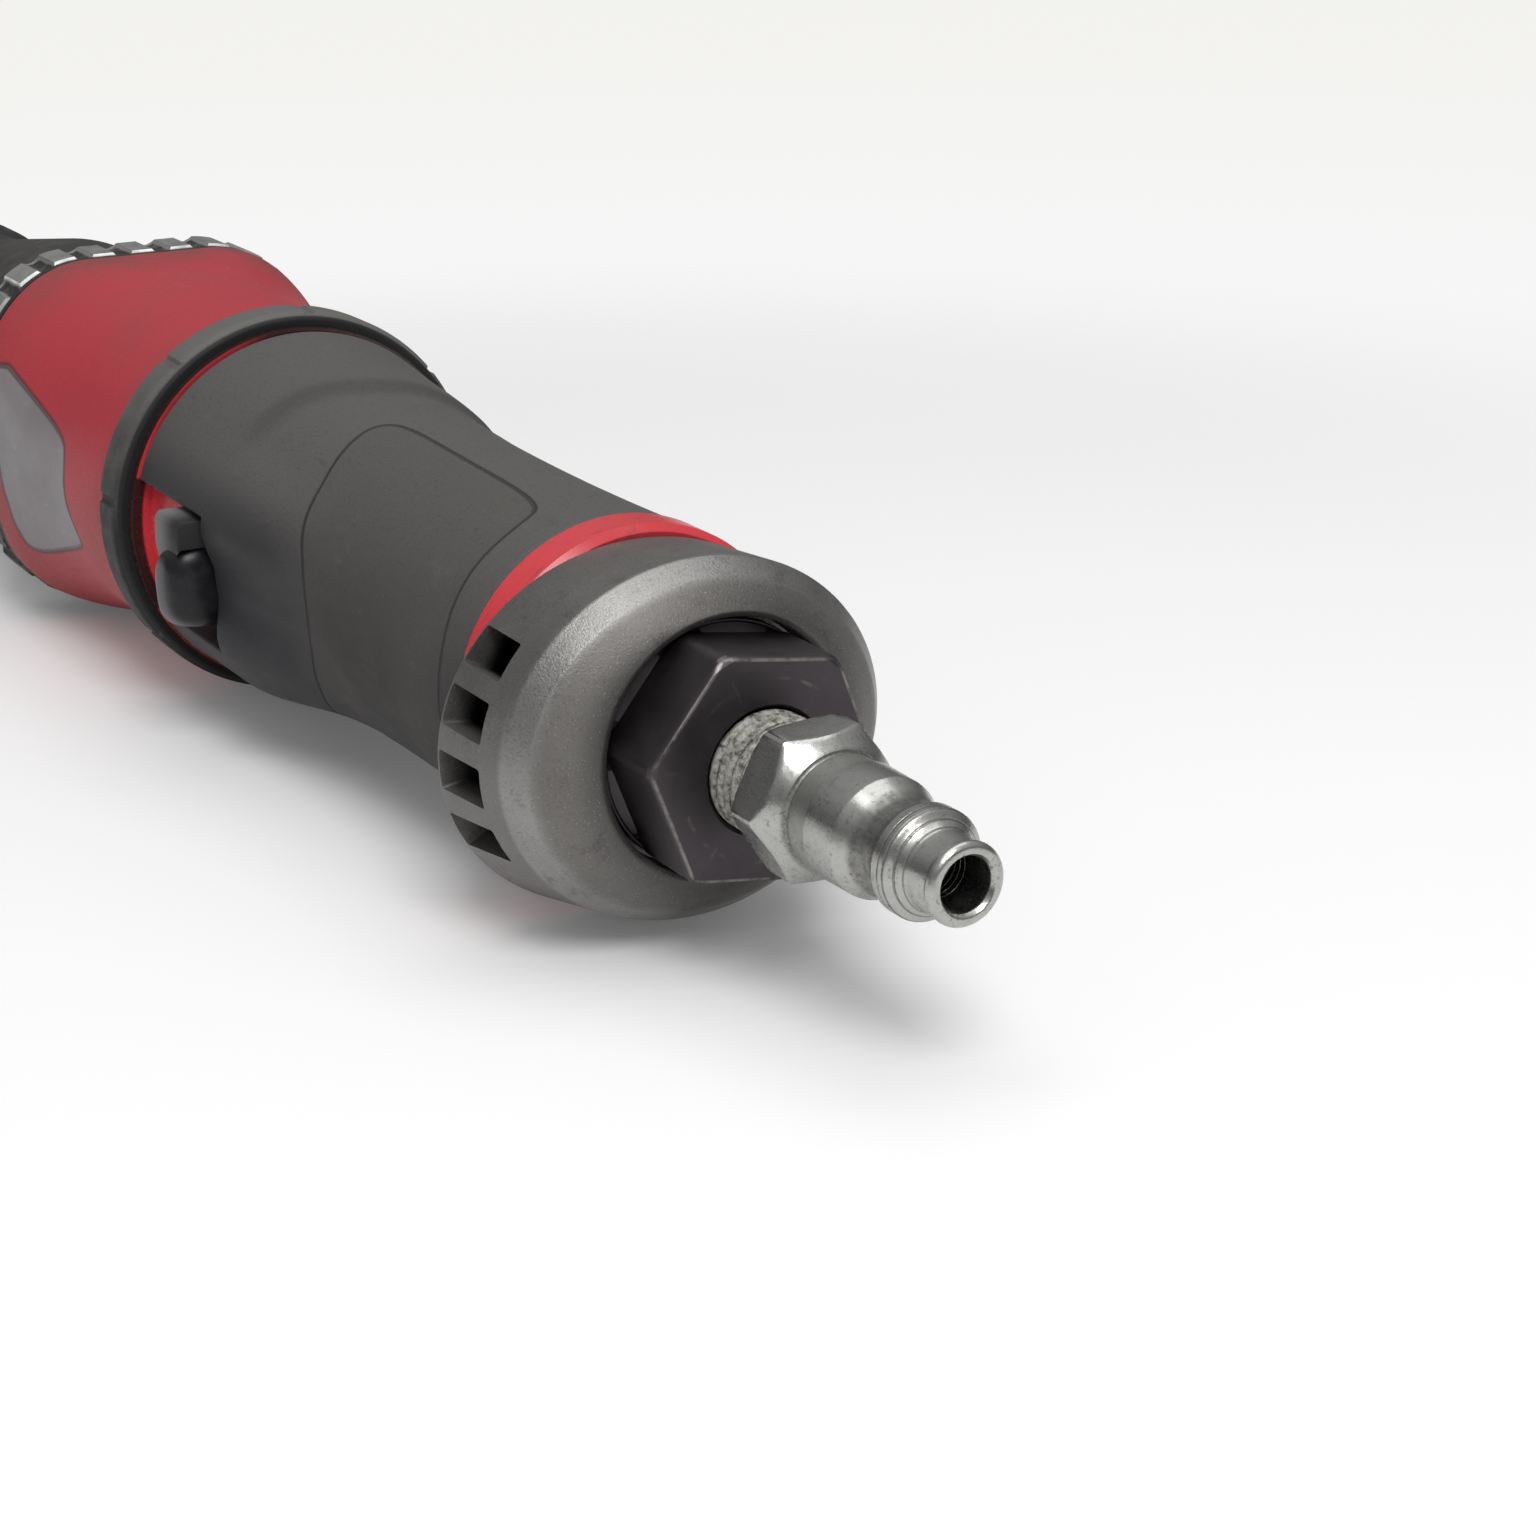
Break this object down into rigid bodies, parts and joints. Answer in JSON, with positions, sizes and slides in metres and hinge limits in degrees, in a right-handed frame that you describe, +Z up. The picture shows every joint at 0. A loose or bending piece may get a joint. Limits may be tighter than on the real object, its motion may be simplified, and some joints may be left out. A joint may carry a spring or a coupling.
{
  "type": "air impact wrench",
  "caption": "Straight air impact wrench with a square drive, side trigger, reverse ring, swivelling exhaust deflector, vane motor and swinging hammers.",
  "frame": {"origin": "on the tool's axis at the shoulder where the square drive leaves the round anvil", "axes": "+X along the tool's axis out of the square drive, +Y to the trigger's side, +Z up"},
  "size_m": [0.325, 0.0519, 0.0514],
  "materials": {
    "red_composite": "satin",
    "grip_rubber": "matte",
    "black_plastic": "satin",
    "blasted_aluminium": "bead blasted",
    "black_steel": "black oxide",
    "zinc_steel": "zinc plated",
    "clamp_steel": "satin",
    "case_aluminium": "cast",
    "boot_rubber": "matte",
    "seal_rubber": "matte",
    "felt": "felt",
    "bronze": "sintered",
    "plug_brass": "turned",
    "valve_plastic": "satin",
    "vane_plastic": "satin",
    "plate_iron": "ground",
    "machined_steel": "machined"
  },
  "bodies": {
    "body": {"air_plug": "zinc_steel", "inlet_bushing": "black_steel", "inlet_screen": "machined_steel", "inlet_o_ring": "seal_rubber", "silencer": "felt", "handle_housing": "red_composite", "grip_sleeve": "grip_rubber", "trigger_pin": "machined_steel", "throttle_bush": "bronze", "valve_seat": "bronze", "throttle_plug": "plug_brass", "throttle_spring": "machined_steel", "detent_ball": "machined_steel", "detent_spring": "machined_steel", "handle_screws": "machined_steel", "motor_housing": "red_composite", "rear_end_plate": "plate_iron", "rear_bearing": "machined_steel", "motor_cylinder": "plate_iron", "motor_dowel": "machined_steel", "front_end_plate": "plate_iron", "front_bearing": "machined_steel", "clamp_seal": "seal_rubber", "case_clamp": "clamp_steel", "hammer_case": "case_aluminium", "nose_bushing": "bronze", "nose_seal": "seal_rubber", "nose_boot": "boot_rubber"},
    "trigger": {"trigger": "black_plastic", "throttle_rod": "machined_steel"},
    "throttle_valve": {"throttle_valve": "valve_plastic"},
    "reverser": {"reverse_ring": "black_plastic", "reverse_valve": "valve_plastic", "reverse_pin": "machined_steel"},
    "deflector": {"exhaust_deflector": "blasted_aluminium"},
    "rotor": {"rotor": "machined_steel", "rotor_vanes": "vane_plastic", "hammer_cage": "machined_steel", "hammer_pins": "machined_steel"},
    "rear_hammer": {"rear_hammer": "machined_steel"},
    "front_hammer": {"front_hammer": "machined_steel"},
    "anvil": {"anvil": "machined_steel", "socket_ring": "machined_steel", "socket_o_ring": "seal_rubber"}
  },
  "joints": [
    {"name": "trigger_press", "type": "slide", "parent": "body", "child": "trigger", "axis": [0, -1, 0], "range_m": [0, 0.0045], "stiffness_N_per_m": 1500, "springref_m": -0.002},
    {"name": "throttle_valve_lift", "type": "slide", "parent": "body", "child": "throttle_valve", "axis": [0, -1, 0], "range_m": [0, 0.0045], "deforming": ["throttle_spring"]},
    {"name": "reverse_turn", "type": "hinge", "parent": "body", "child": "reverser", "pos_m": [-0.1508, 0, 0], "axis": [1, 0, 0], "range_deg": [-20, 20]},
    {"name": "deflector_swivel", "type": "hinge", "parent": "body", "child": "deflector", "pos_m": [-0.2611, 0, 0], "axis": [1, 0, 0], "continuous": true},
    {"name": "rotor_spin", "type": "hinge", "parent": "body", "child": "rotor", "pos_m": [-0.119, 0, 0], "axis": [1, 0, 0], "continuous": true},
    {"name": "rear_hammer_swing", "type": "hinge", "parent": "rotor", "child": "rear_hammer", "pos_m": [-0.0831, 0, 0.0136], "axis": [1, 0, 0], "range_deg": [-4, 4]},
    {"name": "front_hammer_swing", "type": "hinge", "parent": "rotor", "child": "front_hammer", "pos_m": [-0.0722, 0, -0.0136], "axis": [1, 0, 0], "range_deg": [-4, 4]},
    {"name": "anvil_spin", "type": "hinge", "parent": "body", "child": "anvil", "pos_m": [0, 0, 0], "axis": [1, 0, 0], "continuous": true}
  ],
  "couplings": [
    {"joint": "throttle_valve_lift", "follows": "trigger_press", "ratio": 1},
    {"joint": "anvil_spin", "follows": "rotor_spin", "ratio": 1}
  ]
}
